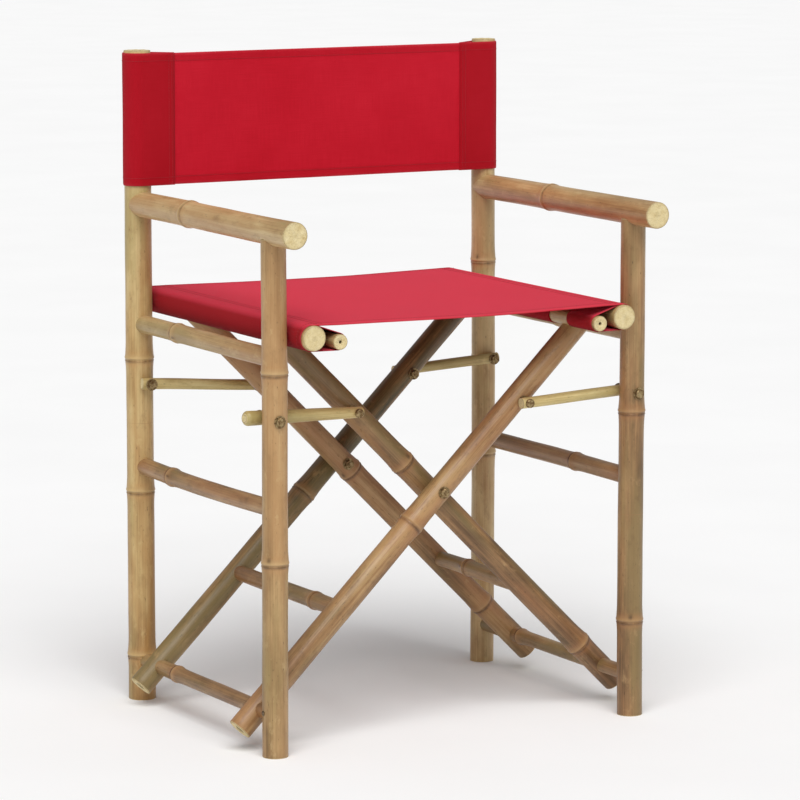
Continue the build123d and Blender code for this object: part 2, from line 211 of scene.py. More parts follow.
# ---- bamboo -------------------------------------------------------------------------
def bamboo_skin(name, light, base, dark, warm, olive):
    """Lacquered bamboo skin: fibres along the pole, stains, specks, and marks at each node."""
    g = Graph(name)
    place = g.attribute("pole_co", "Vector")
    fibre = g.noise(g.stretch(place, (1, 1, 0.012)), 800, 4, 0.6)
    streak = g.noise(g.stretch(place, (1, 1, 0.03)), 170, 3, 0.55)
    patch = g.noise(g.stretch(place, (1, 1, 0.3)), 30, 4, 0.6)
    hue = g.noise(g.stretch(place, (1, 1, 0.16)), 21, 3, 0.55)
    speck = g.noise(g.stretch(place, (1, 1, 0.3)), 480, 2, 0.5)
    smudge = g.noise(g.stretch(place, (1, 1, 0.5)), 70, 5, 0.7)
    tone = g.math("SUBTRACT", g.math("ADD", g.math("MULTIPLY", streak, 0.5), patch), 0.23)
    tone = g.math("ADD", tone, g.math("MULTIPLY", g.math("SUBTRACT", fibre, 0.5), 0.6))
    tone = g.math("ADD", tone, g.attribute("tint"))
    # the last stop, half the dark colour, is the deepest tone and also painted shade: a high tint reaches it,
    # as at the top of leg_a_rear where the seat's shadow falls
    darker = tuple(c * 0.5 for c in dark)
    deep = tuple(c * 0.3 for c in dark)
    skin = g.ramp(tone, (0.28, light), (0.52, base), (0.82, dark), (1.0, darker))
    skin = g.mix(g.ramp(hue, (0.5, 0.0), (0.64, 0.55)), skin, warm)
    skin = g.mix(g.ramp(hue, (0.36, 0.75), (0.48, 0.0)), skin, olive)
    skin = g.mix(g.ramp(smudge, (0.54, 0.0), (0.74, 0.6)), skin, dark)
    skin = g.mix(g.ramp(smudge, (0.28, 0.5), (0.42, 0.0)), skin, light)
    skin = g.mix(g.ramp(speck, (0.68, 0.0), (0.76, 0.6)), skin, deep)
    # marks at the nodes: a warm band, a worn crest, the dark broken line of the sheath scar, and a
    # fine line above it; these ramps are centred on the node and 0.001 on them is a millimetre
    offset = g.math("ADD", g.attribute("node_distance"), 0.5)
    band = g.ramp(offset, (0.486, 0.0), (0.494, 0.5), (0.503, 0.5), (0.513, 0.0))
    skin = g.mix(band, skin, warm)
    crest = g.ramp(offset, (0.497, 0.0), (0.4995, 0.5), (0.5025, 0.4), (0.506, 0.0))
    skin = g.mix(crest, skin, light)
    scar = g.ramp(offset, (0.4943, 0.0), (0.4952, 0.75), (0.4963, 0.75), (0.4975, 0.0))
    ragged = g.math("MULTIPLY", scar, g.ramp(smudge, (0.35, 0.25), (0.6, 1.0)))
    skin = g.mix(ragged, skin, deep)
    under = g.ramp(offset, (0.5022, 0.0), (0.5032, 0.3), (0.5045, 0.0))
    skin = g.mix(g.math("MULTIPLY", under, streak), skin, deep)
    skin = g.mix(g.math("MULTIPLY", g.attribute("groove"), 0.35), skin, dark)
    skin = g.mix(g.math("MULTIPLY", g.attribute("bud"), 0.9), skin, deep)
    g.colour(skin)
    gloss = g.math("ADD", g.math("MULTIPLY", patch, 0.6), g.math("MULTIPLY", fibre, 0.4))
    g.roughness(g.ramp(gloss, (0.3, 0.34), (0.7, 0.52)))
    g.set("Coat Weight", 0.15)
    g.set("Coat Roughness", 0.3)
    g.set("Specular IOR Level", 0.4)
    g.relief(g.math("ADD", g.math("MULTIPLY", fibre, 0.6), g.math("MULTIPLY", smudge, 0.5)), 0.0003)
    return g.material


def bamboo_cut():
    """A sawn end: pale wood with darker fibre bundles, a thin brown rim, and painted shade down an open bore.
    """
    g = Graph("bamboo_cut_end")
    place = g.attribute("pole_co", "Vector")
    cells = g.add("ShaderNodeTexVoronoi", {"Vector": g.stretch(place, (1, 1, 0.05)), "Scale": 780.0})
    dots = g.ramp(cells.outputs["Distance"], (0.18, 1.0), (0.42, 0.0))
    stain = g.noise(place, 120, 4)
    wood = g.ramp(stain, (0.25, srgb(232, 216, 170)), (0.6, srgb(218, 198, 146)), (0.85, srgb(188, 158, 104)))
    wood = g.mix(g.math("MULTIPLY", dots, 0.35), wood, srgb(160, 128, 80))
    wood = g.mix(g.math("MULTIPLY", g.attribute("rim"), 0.7), wood, srgb(122, 92, 52))
    # painted shade: an open bore darkens down its shallow cup to a near-black bottom, in place of the shade
    # inside the pole
    wood = g.mix(g.attribute("hollow"), wood, srgb(60, 44, 26))
    g.colour(wood)
    g.roughness(g.ramp(stain, (0.3, 0.62), (0.7, 0.8)))
    g.relief(g.math("ADD", dots, g.noise(place, 700, 3)), 0.00035)
    return g.material


SKINS = {
    "tan": bamboo_skin("bamboo_tan_skin", srgb(204, 177, 128), srgb(181, 148, 101), srgb(142, 110, 69),
                       srgb(178, 133, 86), srgb(158, 136, 88)),
    "yellow": bamboo_skin("bamboo_yellow_skin", srgb(210, 186, 132), srgb(189, 158, 104), srgb(152, 119, 71),
                          srgb(188, 141, 86), srgb(164, 145, 90)),
    "brown": bamboo_skin("bamboo_brown_skin", srgb(182, 148, 102), srgb(156, 119, 78), srgb(108, 80, 50),
                         srgb(164, 112, 70), srgb(130, 110, 68)),
    "olive": bamboo_skin("bamboo_olive_skin", srgb(180, 148, 100), srgb(152, 119, 76), srgb(94, 80, 48),
                         srgb(150, 108, 66), srgb(118, 104, 64)),
    "pale": bamboo_skin("bamboo_pale_skin", srgb(226, 208, 150), srgb(204, 182, 122), srgb(164, 138, 84),
                        srgb(190, 158, 98), srgb(176, 160, 104)),
}
CUT = bamboo_cut()

AROUND = 44                # points round a pole
ANGLES = np.arange(AROUND) * 2 * math.pi / AROUND
SKIN_SLOT, CUT_SLOT = 0, 1
STEP = 0.007               # between rings, away from the nodes
NODE_STEPS = (-0.014, -0.011, -0.0085, -0.0065, -0.0055, -0.0048, -0.0042, -0.0036, -0.003, -0.0022,
              -0.0014, -0.0006, 0.0002, 0.001, 0.002, 0.0032, 0.0048, 0.007, 0.010, 0.014)
NODE_REACH = 0.016         # half the length that a node's own rings take up
ROUNDED_STEPS = (0.1, 0.2, 0.35, 0.5, 0.7, 1.0)    # rings on a worn end, as shares of it
WORN = 0.75                # a worn end's radius falls to the square root of 1 - WORN
END_BEVEL = 0.0008
# a height, how wide it runs along the pole, and where it is from the node
SWELL, SWELL_WIDTH = 0.0010, 0.012                         # a pole thickens round a node
CREST, CREST_WIDTH = 0.0007, 0.0022                        # the ridge at the node itself
SCAR, SCAR_WIDTH, SCAR_AT = 0.0005, 0.0007, -0.0042        # the thin ring of the sheath scar
DIP, DIP_WIDTH, DIP_AT = 0.0004, 0.0008, -0.0022           # the hollow between scar and ridge
# marks on one side of the pole, whose angles are half widths in radians
GROOVE, GROOVE_ANGLE, GROOVE_FADE = 0.0009, 0.30, 0.11     # the channel above a node
BUD, BUD_ANGLE, BUD_LENGTH, BUD_AT = 0.0006, 0.13, 0.0032, 0.005
LUMP = 0.0003              # uneven surface
GIRTH = 0.0002             # how much the radius differs between internodes
SHADE = 0.06               # and their tone
CURL = 0.0004              # how far a pole wanders off its line
SAW = 0.00012              # saw marks on a cut end
SKIN_SHIFT = (0.37, 1.7)   # moves each pole's texture across and along, by its seed
AXIS_ROUNDS = 30           # enough for pole_axis to settle


def pole_axis(node, radii, climb):
    """The two ends of a straight pole's axis, worked out from its CAD box and its two end radii.

    climb says, for each axis, whether the pole rises or falls along it from start to end. The box
    holds the end discs, whose overhang depends on the direction, so the ends settle round by round.
    """
    low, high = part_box(node)
    climb = np.array(climb)
    middle_point = (low + high) / 2
    first, last = np.where(climb < 0, high, low), np.where(climb < 0, low, high)
    start, end = np.where(climb, first, middle_point), np.where(climb, last, middle_point)
    for _ in range(AXIS_ROUNDS):
        direction = (end - start) / np.linalg.norm(end - start)
        spare = climb * np.sqrt(np.maximum(0.0, 1.0 - direction ** 2))
        start = np.where(climb, first + radii[0] * spare, middle_point)
        end = np.where(climb, last - radii[1] * spare, middle_point)
    return start, end


POINT_VALUES = {"node_distance": 1.0, "groove": 0.0, "bud": 0.0, "tint": 0.0, "rim": 0.0, "hollow": 0.0}


class PoleMesh:
    """Points, faces and per-point values of a pole under construction."""

    def __init__(self, side, other, seed):
        self.side = side
        self.other = other
        self.seed = seed
        self.points = []
        self.faces = []
        self.slots = []
        self.fields = {"pole_co": [], **{key: [] for key in POINT_VALUES}}

    def add(self, centre, r, angle, distance, **values):
        """Adds a point at a radius and an angle round a centre, distance along the texture.

        A value that isn't given keeps its usual one.
        """
        across, ahead = SKIN_SHIFT
        place = (r * math.cos(angle) + self.seed * across, r * math.sin(angle), distance + self.seed * ahead)
        self.points.append(centre + r * (math.cos(angle) * self.side + math.sin(angle) * self.other))
        self.fields["pole_co"].append(place)
        for key, usual in POINT_VALUES.items():
            self.fields[key].append(values.get(key, usual))

    def band(self, first, second, slot, flip=False):
        """Joins two rings of points."""
        for i in range(AROUND):
            j = (i + 1) % AROUND
            face = (first + i, first + j, second + j, second + i)
            self.faces.append(face[::-1] if flip else face)
            self.slots.append(slot)

    def sawn_end(self, edge, centre, axis, outward, radius, bore):
        """Closes an end with rings inward from the ring of points that starts at edge.

        outward is 1 where the end faces along the axis, and -1 where it faces back.
        """
        for share, inward, rim, hollow in end_rings(bore):
            first = len(self.points)
            for angle in ANGLES:
                saw = SAW * math.sin(9 * angle + share * 20) * (0.2 < share < 0.97)
                place = centre - outward * axis * (inward - saw)
                self.add(place, radius * share, angle, inward, rim=rim, hollow=hollow)
            self.band(edge, first, CUT_SLOT, flip=outward < 0)
            edge = first
        cap = tuple(range(edge, edge + AROUND))
        self.faces.append(cap if outward > 0 else cap[::-1])
        self.slots.append(CUT_SLOT)


def end_rings(bore):
    """Rings of a sawn end: share of the radius, inward distance, rim, and the painted shade that darkens an
    open bore down its depth.
    """
    rings = [(0.985, 0.0, 1.0, 0.0), (0.93, -0.00015, 0.3, 0.0), (0.8, 0.0, 0.0, 0.0)]
    if bore:
        # the last value is painted shade, deepening from the bore's lip to the cup's bottom
        rings += [(bore + 0.05, 0.0001, 0.0, 0.0), (bore, 0.001, 0.5, 0.25), (bore - 0.02, 0.008, 0.0, 0.7),
                  (bore - 0.03, 0.013, 0.0, 0.95), (bore * 0.6, 0.0145, 0.0, 1.0), (0.05, 0.0149, 0.0, 1.0)]
    else:
        rings += [(0.55, 0.0002, 0.0, 0.0), (0.3, -0.0001, 0.0, 0.0), (0.06, 0.0001, 0.0, 0.12)]
    return rings


def ring_places(length, nodes, rounded):
    """Distances of a pole's rings from its start, closer together round each node."""
    count = max(4, int(length / STEP))
    places = set(np.round(np.linspace(END_BEVEL, length - END_BEVEL, count), 5))
    for mark in nodes:
        places -= {place for place in places if abs(place - mark) < NODE_REACH}
        places |= {round(mark + step, 5) for step in NODE_STEPS if 0.001 < mark + step < length - 0.001}
    if rounded:
        places |= {round(rounded * share, 5) for share in ROUNDED_STEPS}
    return np.array(sorted(places))


def bamboo_pole(name, start, end, radii, skin, nodes=(), bow=(0.0, 0.0), bow_end=1.0, tint=(0.0, 0.0),
                seed=0, bores=(0.0, 0.0), rounded=0.0):
    """A bamboo pole as a mesh, from start to end.

    radii and tint are given at the two ends, and nodes are distances from the start. bow is how far
    the pole bends off its line in its two cross directions, over the share bow_end of its length.
    bores are the open ends' bores as shares of the radius. rounded is how far the start's edge is
    worn round.
    """
    start, end = np.array(start, float), np.array(end, float)
    length = float(np.linalg.norm(end - start))
    axis = (end - start) / length
    helper = np.array((0.0, 1.0, 0.0)) if abs(axis[1]) < 0.9 else np.array((1.0, 0.0, 0.0))
    side = np.cross(axis, helper)
    side /= np.linalg.norm(side)
    other = np.cross(axis, side)
    draw = np.random.default_rng(seed)
    marks = np.array(sorted(nodes))
    stations = ring_places(length, nodes, rounded)
    if len(nodes):
        gaps = stations[:, None] - marks[None, :]
        nearest = gaps[np.arange(len(stations)), np.abs(gaps).argmin(1)]
    else:
        nearest = np.ones(len(stations))

    shape = draw.uniform(0, 1, 5)
    squash_angle, squash = math.pi * shape[0], 0.004 + 0.01 * shape[1]
    groove_angle = 2 * math.pi * shape[2]
    lumps = draw.uniform(-50, 50, 3)
    wander = draw.uniform(-1, 1, 2)
    girth = draw.uniform(-1, 1, len(nodes) + 1)
    shade = draw.uniform(-1, 1, len(nodes) + 1)
    has_bud = draw.uniform(0, 1, len(nodes) + 1) < 0.6

    mesh = PoleMesh(side, other, seed)
    for index, along in enumerate(stations):
        share = along / length
        bent = math.sin(math.pi * min(1.0, share / bow_end))
        curl = CURL * math.sin(2 * math.pi * share)
        centre = start + axis * along
        centre = centre + side * (bow[0] * bent + wander[0] * curl)
        centre = centre + other * (bow[1] * bent + wander[1] * curl)
        internode = int((marks <= along).sum())
        since = along - marks[internode - 1] if internode else 1.0
        fade = float(smooth(0.003, 0.012, since)) * math.exp(-since / GROOVE_FADE)
        blend = float(smooth(0.0, 0.02, since)) if internode else 1.0
        before = max(0, internode - 1)
        own_girth = girth[before] + (girth[internode] - girth[before]) * blend
        change = float(smooth(-0.004, 0.004, since - 0.004))
        own_shade = shade[before] + (shade[internode] - shade[before]) * change
        turn = groove_angle + math.pi * (internode % 2)
        base = radii[0] + (radii[1] - radii[0]) * share
        gap = nearest[index]
        base += SWELL * bump(gap, SWELL_WIDTH) + CREST * bump(gap, CREST_WIDTH)
        base += SCAR * bump(gap - SCAR_AT, SCAR_WIDTH) - DIP * bump(gap - DIP_AT, DIP_WIDTH)
        base += GIRTH * own_girth
        if rounded and along < rounded:
            base *= math.sqrt(1 - WORN * (1 - along / rounded) ** 2)
        tone = tint[0] + (tint[1] - tint[0]) * share + SHADE * own_shade
        for angle in ANGLES:
            off = (angle - turn + math.pi) % (2 * math.pi) - math.pi
            groove = fade * math.exp(-((off / GROOVE_ANGLE) ** 2))
            bud = 0.0
            if internode and has_bud[internode]:
                bud = math.exp(-((off / BUD_ANGLE) ** 2) - ((since - BUD_AT) / BUD_LENGTH) ** 2)
            lump = noise.noise(Vector((math.cos(angle) * 1.3 + lumps[0], math.sin(angle) * 1.3 + lumps[1],
                                       along * 14 + lumps[2])))
            r = base * (1 + squash * math.cos(2 * (angle - squash_angle)))
            r += LUMP * lump - GROOVE * groove + BUD * bud
            mesh.add(centre, r, angle, along, node_distance=gap, groove=groove, bud=bud, tint=tone)
    last = len(stations) - 1
    for row in range(last):
        mesh.band(row * AROUND, (row + 1) * AROUND, SKIN_SLOT)
    start_radius = radii[0] * (math.sqrt(1 - WORN) if rounded else 1.0)
    mesh.sawn_end(last * AROUND, end, axis, 1, radii[1], bores[1])
    mesh.sawn_end(0, start, axis, -1, start_radius, bores[0])
    return make_object(name, mesh.points, mesh.faces, [SKINS[skin], CUT], mesh.slots, mesh.fields)


def place_pole(node, radii, climb, skin, **look):
    """A detailed bamboo pole in place of a CAD node, riding on the same body."""
    start, end = pole_axis(node, radii, climb)
    pole = bamboo_pole(node + "_bamboo", start, end, radii, skin, **look)
    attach(pole, NODES[node]["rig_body"])
    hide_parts(node)


UP = (0, 0, 1)
BACK_TO_FRONT = (0, -1, 0)
FRONT_TO_BACK = (0, 1, 0)
RISE_RIGHT = (1, 0, 1)
RISE_LEFT = (-1, 0, 1)
REAR_POST_R = {"left": (0.01825, 0.01775), "right": (0.0167, 0.0162)}
FRONT_POST_R = (0.0168, 0.0161)
ARMREST_R = (0.0175, 0.01675)
UPPER_RAIL_R = (0.012, 0.012)
LOWER_RAIL_R = (0.01125, 0.01125)
BOTTOM_ROD_R = (0.010, 0.010)
LEG_R = (0.0159, 0.0153)
STRETCHER_R = (0.011, 0.0106)
SEAT_POLE_R = (0.016, 0.0156)
SEAT_ROD_R = (0.010, 0.010)
STAY_R = (0.0075, 0.0072)
STUB_STAY_R = (0.0095, 0.0072)     # the front left stay's, thicker where it stands proud of its post
BELOW_BACK = 0.78          # share of a rear post that stands below the back canvas
POST_BORE = 0.37           # open bores, as shares of the radius
FOOT_BORE = 0.38
ROD_BORE = 0.2


def side_frame_poles(side, seed, looks):
    """The six poles of one side frame."""
    rear, front, armrest, upper, lower = looks
    place_pole(f"{side}_rear_post", REAR_POST_R[side], UP, seed=seed, bores=(0.0, POST_BORE),
               bow_end=BELOW_BACK, **rear)
    place_pole(f"{side}_front_post", FRONT_POST_R, UP, seed=seed + 1, **front)
    place_pole(f"{side}_armrest", ARMREST_R, FRONT_TO_BACK, "tan", seed=seed + 2, **armrest)
    place_pole(f"{side}_upper_rail", UPPER_RAIL_R, BACK_TO_FRONT, "tan", seed=seed + 3, **upper)
    place_pole(f"{side}_lower_rail", LOWER_RAIL_R, BACK_TO_FRONT, "brown", seed=seed + 4, **lower)
    place_pole(f"{side}_bottom_rod", BOTTOM_ROD_R, BACK_TO_FRONT, "brown", seed=seed + 5, nodes=(0.11,),
               tint=(-0.05, 0.1))


def build_poles():
    """Every pole of the chair."""
    side_frame_poles("left", 10, (
        dict(skin="yellow", nodes=(0.062, 0.288, 0.468), bow=(0.0006, 0.001), tint=(0.14, -0.2)),
        dict(skin="tan", nodes=(0.252, 0.496), bow=(-0.001, 0.0), tint=(0.22, 0.05)),
        dict(nodes=(0.303,), tint=(-0.04, -0.1)),
        dict(nodes=(0.119,), tint=(0.0, 0.12)),
        dict(nodes=(0.106,), bow=(-0.001, 0.0045), tint=(0.0, 0.0)),
    ))
    side_frame_poles("right", 30, (
        dict(skin="tan", nodes=(0.30, 0.572), bow=(-0.0008, 0.0008), tint=(-0.05, -0.3)),
        dict(skin="brown", nodes=(0.13, 0.411), bow=(0.001, 0.0005), tint=(0.16, -0.1)),
        dict(nodes=(0.274,), tint=(0.02, 0.05)),
        dict(nodes=(0.21,), tint=(0.15, 0.15)),
        dict(nodes=(0.25,), bow=(0.0, -0.003), tint=(0.05, 0.05)),
    ))
    for node, rise, skin, nodes, seed, tint in (
        ("leg_a_front", RISE_RIGHT, "brown", (0.353,), 51, (0.08, -0.25)),
        # painted shade: leg_a_rear's tint climbs to 0.5 at its top, darkening the part that lies in the
        # seat's shadow
        ("leg_a_rear", RISE_RIGHT, "olive", (0.349,), 52, (-0.1, 0.5)),
        ("leg_b_front", RISE_LEFT, "brown", (0.082, 0.461), 53, (0.3, 0.0)),
        ("leg_b_rear", RISE_LEFT, "brown", (0.106, 0.395), 54, (0.15, -0.25)),
    ):
        place_pole(node, LEG_R, rise, skin, nodes=nodes, seed=seed, tint=tint, bores=(FOOT_BORE, 0.0))
    for node, nodes, seed in (("leg_a_stretcher", (0.062,), 61), ("leg_b_stretcher", (0.138,), 62)):
        place_pole(node, STRETCHER_R, FRONT_TO_BACK, "brown", nodes=nodes, seed=seed, tint=(0.0, 0.08))
    for seed, side in ((71, "left"), (72, "right")):
        place_pole(f"seat_pole_{side}", SEAT_POLE_R, FRONT_TO_BACK, "tan", seed=seed)
        place_pole(f"seat_rod_{side}", SEAT_ROD_R, FRONT_TO_BACK, "tan", seed=seed + 2, bores=(ROD_BORE, 0.0))
    place_pole("stay_front_left", STUB_STAY_R, (1, 1, -1), "pale", seed=81, tint=(0.3, -0.1), rounded=0.006)
    place_pole("stay_rear_left", STAY_R, (1, -1, -1), "pale", seed=82, tint=(-0.05, 0.05))
    place_pole("stay_front_right", STAY_R, (-1, 0, -1), "pale", seed=83, tint=(0.0, 0.0))
    place_pole("stay_rear_right", STAY_R, (-1, 0, -1), "pale", seed=84, tint=(0.15, 0.15))


build_poles()


# ---- canvas -------------------------------------------------------------------------
WEAVE = 0.0011             # two threads


def canvas_material():
    """Red plain-weave canvas: crossing threads, slubs, worn hem edges, darker double layers with painted
    shade on the seat's turned-down cloth, and a painted highlight on faces that look up with painted shade on
    those that look down.
    """
    g = Graph("red_canvas")
    place = g.attribute("cloth_co", "Vector")
    parts = g.add("ShaderNodeSeparateXYZ", {0: place})
    turns = 2 * math.pi / WEAVE
    warp = g.math("SINE", g.math("MULTIPLY", parts.outputs[0], turns))
    weft = g.math("SINE", g.math("MULTIPLY", parts.outputs[1], turns))
    weave = g.math("ADD", g.math("MULTIPLY", g.math("MULTIPLY", warp, weft), 0.5), 0.5)
    slub_x = g.noise(g.stretch(place, (1, 0.03, 1)), 900, 2)
    slub_y = g.noise(g.stretch(place, (0.03, 1, 1)), 900, 2)
    slub = g.math("MULTIPLY", g.math("ADD", slub_x, slub_y), 0.5)
    patch = g.noise(place, 9, 4, 0.6)
    tone = g.math("ADD", g.math("MULTIPLY", slub, 0.5), g.math("MULTIPLY", patch, 0.3))
    tone = g.math("ADD", tone, g.math("MULTIPLY", weave, 0.2))
    cloth = g.ramp(tone, (0.25, srgb(178, 14, 30)), (0.5, srgb(198, 24, 44)), (0.78, srgb(212, 42, 60)))
    # darker for double layers of cloth, and painted shade where the seat's cloth turns down under its tunnels
    cloth = g.mix(g.math("MULTIPLY", g.attribute("doubled_and_painted_shade"), 0.85), cloth, srgb(140, 6, 12))
    # painted highlight and painted shade: faces that look up are paler, and those that look down are darker
    normal = g.add("ShaderNodeNewGeometry").outputs["Normal"]
    facing = g.add("ShaderNodeSeparateXYZ", {0: normal}).outputs[2]
    cloth = g.mix(g.ramp(facing, (0.6, 0.0), (0.95, 0.6)), cloth, srgb(230, 70, 92))
    cloth = g.mix(g.ramp(g.math("MULTIPLY", facing, -1.0), (0.5, 0.0), (0.95, 0.6)), cloth, srgb(92, 6, 12))
    worn = g.math("MULTIPLY", g.attribute("edge"), g.ramp(patch, (0.35, 0.1), (0.65, 0.6)))
    cloth = g.mix(worn, cloth, srgb(214, 78, 88))
    g.colour(cloth)
    g.roughness(g.ramp(slub, (0.3, 0.8), (0.7, 0.95)))
    g.set("Sheen Weight", 0.04)
    g.set("Sheen Roughness", 0.5)
    g.set("Specular IOR Level", 0.08)
    g.relief(g.math("ADD", g.math("MULTIPLY", weave, 0.6), g.math("MULTIPLY", slub, 0.8)), 0.0004)
    return g.material


def thread_material():
    """Dark red sewing thread with its twist."""
    g = Graph("red_thread")
    place = g.attribute("cloth_co", "Vector")
    twist = g.noise(place, 2400, 1)
    g.colour(g.ramp(twist, (0.3, srgb(132, 10, 20)), (0.7, srgb(176, 28, 40))))
    g.roughness(g.ramp(twist, (0.3, 0.5), (0.7, 0.7)))
    g.relief(twist, 0.0002)
    return g.material


CANVAS = canvas_material()
THREAD = thread_material()
THREAD_SLOT = 1            # the thread's place among a sheet's materials
CLOTH = 0.0012             # canvas thickness
GAP = 0.0003               # canvas to pole
HEM = 0.012
# where lines of points run, from a hemmed edge inward
HEM_LINES = (0.0, 0.0006, 0.0018, 0.004, 0.0075, 0.0105, HEM - 0.0004, HEM + 0.0006, HEM + 0.003)
HEM_FOLD = 0.8 * CLOTH     # how much a folded hem adds to the thickness
HEM_STITCH = HEM - 0.0015  # from the edge to the hem's stitches
EDGE_ROUNDING = 0.0005
PATH_STEP = 0.004
STITCH_PITCH = 0.0036
STITCH_ENDS = (0.12, 0.88)     # where a stitch starts and stops, as shares of the pitch
STITCH_SIDES = 6
STITCH_RINGS = (           # share of the stitch, half its width, height above the cloth
    (0.0, 0.00005, -0.0003),
    (0.25, 0.00034, 0.0002),
    (0.75, 0.00034, 0.0002),
    (1.0, 0.00005, -0.0003),
)


def line_and_arcs(parts, step):
    """Points along straight runs and arcs, about a step apart.

    A run is ("run", start, end); an arc is ("arc", centre, radius, from_angle, to_angle).
    """
    out = []
    for part in parts:
        if part[0] == "run":
            a, b = np.array(part[1], float), np.array(part[2], float)
            count = max(2, int(np.linalg.norm(b - a) / step) + 1)
            points = [a + (b - a) * t for t in np.linspace(0, 1, count)]
        else:
            _, centre, radius, first, last = part
            count = max(6, int(abs(last - first) * radius / (step * 0.6)) + 1)
            points = [np.array(centre) + radius * np.array((math.cos(t), math.sin(t)))
                      for t in np.linspace(first, last, count)]
        out += points if not out else points[1:]
    return np.array(out)


def strip_normals(path):
    """The left-hand unit normals of a path in a plane, and the distance along it."""
    ahead = np.gradient(path, axis=0)
    ahead /= np.linalg.norm(ahead, axis=1)[:, None]
    normals = np.stack([-ahead[:, 1], ahead[:, 0]], 1)
    along = np.concatenate([[0], np.cumsum(np.linalg.norm(np.diff(path, axis=0), axis=1))])
    return normals, along


def cloth_fields(rows, columns):
    """Empty per-point values for a sheet: cloth place, darkening for double layers and painted shade, and
    worn edge.
    """
    return {"cloth_co": np.zeros((rows, columns, 3)), "doubled_and_painted_shade": np.zeros((rows, columns, 1)),
            "edge": np.zeros((rows, columns, 1))}


def hem_share(rim):
    """1 within the folded hem, 0 past it, for a distance from the edge."""
    return 1.0 - float(smooth(HEM - 0.0006, HEM + 0.0012, rim))


def edge_rounding(rim):
    """How far a face draws in near the edge."""
    return EDGE_ROUNDING * (1 - float(smooth(0.0, 0.002, rim)))


def cloth_sheet(name, outer, inner, keep, fields, stitches=()):
    """A closed sheet of cloth from two grids of points, its outer and inner faces.

    keep says which cells are cloth, fields are per-point attributes, and stitches are
    (points, outward directions) rows of thread laid on the outer face.
    """
    rows, columns = outer.shape[:2]
    size = rows * columns
    points = np.concatenate([outer.reshape(-1, 3), inner.reshape(-1, 3)])
    faces = []

    def vertex(row, column, layer):
        return layer * size + row * columns + column

    for r in range(rows - 1):
        for c in range(columns - 1):
            if not keep[r, c]:
                continue
            square = ((r, c), (r, c + 1), (r + 1, c + 1), (r + 1, c))
            faces.append(tuple(vertex(i, j, 0) for i, j in square))
            faces.append(tuple(vertex(i, j, 1) for i, j in reversed(square)))
            borders = ((r - 1, c, 0, 1), (r, c + 1, 1, 2), (r + 1, c, 2, 3), (r, c - 1, 3, 0))
            for i, j, a, b in borders:
                inside = 0 <= i < rows - 1 and 0 <= j < columns - 1
                if not (inside and keep[i, j]):
                    one, two = square[a], square[b]
                    faces.append((vertex(*two, 0), vertex(*one, 0), vertex(*one, 1), vertex(*two, 1)))
    slots = [0] * len(faces)
    fields = {key: np.concatenate([value.reshape(size, -1)] * 2) for key, value in fields.items()}
    wanted = sorted({v for face in faces for v in face})
    remap = {old: new for new, old in enumerate(wanted)}
    faces = [tuple(remap[v] for v in face) for face in faces]
    points = list(points[wanted])
    fields = {key: list(value[wanted]) for key, value in fields.items()}
    for line, outward in stitches:
        add_stitches(points, faces, slots, fields, np.array(line), np.array(outward))
    flat_fields = {}
    for key, value in fields.items():
        value = np.array(value)
        flat_fields[key] = value[:, 0] if value.shape[1] == 1 else value
    return make_object(name, points, faces, [CANVAS, THREAD], slots, flat_fields)


def add_stitches(points, faces, slots, fields, line, outward):
    """Appends a row of thread stitches along a line, each a little flattened lozenge."""
    along = np.concatenate([[0], np.cumsum(np.linalg.norm(np.diff(line, axis=0), axis=1))])
    count = int(along[-1] / STITCH_PITCH)
    for k in range(count):
        ends = [(k + share) * STITCH_PITCH for share in STITCH_ENDS]
        a, b = (np.array([np.interp(d, along, line[:, i]) for i in range(3)]) for d in ends)
        up = np.array([np.interp(sum(ends) / 2, along, outward[:, i]) for i in range(3)])
        up /= np.linalg.norm(up)
        run = (b - a) / np.linalg.norm(b - a)
        across = np.cross(run, up)
        first = len(points)
        for share, width, height in STITCH_RINGS:
            centre = a + (b - a) * share + up * height
            for i in range(STITCH_SIDES):
                turn = i * 2 * math.pi / STITCH_SIDES
                points.append(centre + width * (math.cos(turn) * across + math.sin(turn) * up))
        last = len(points) - STITCH_SIDES
        for low in range(first, last, STITCH_SIDES):
            for i in range(STITCH_SIDES):
                j = (i + 1) % STITCH_SIDES
                faces.append((low + i, low + j, low + STITCH_SIDES + j, low + STITCH_SIDES + i))
        faces.append(tuple(first + i for i in reversed(range(STITCH_SIDES))))
        faces.append(tuple(last + i for i in range(STITCH_SIDES)))
        slots += [THREAD_SLOT] * (len(faces) - len(slots))
        for value in fields.values():
            size = len(value[0])
            value += [np.array([k * STITCH_PITCH, 0.5, 0.0][:size])] * (len(points) - first)


# -- seat
SEAT_SAG = 0.0045          # at the middle of the seat
SEAT_RIPPLE = 0.0009
SEAT_HEM_DROP = 0.0010     # the front and rear hems hang a little lower
SEAT_LINES = 92            # lines of points from hem to hem
SLOT_HALF = 0.023          # half the width of a leg's opening in a tunnel
SLOT_PAST_POLE = 0.008     # how far it reaches past the pole's axis
SLOT_BELOW_TOP = 0.006     # it starts this far under the seat's top
TUNNEL_STITCHES = (0.010, 0.016)       # from the pole's axis to the two rows along a tunnel
HEM_STITCH_REACH = 14      # path points that the hems' stitches run on past the top


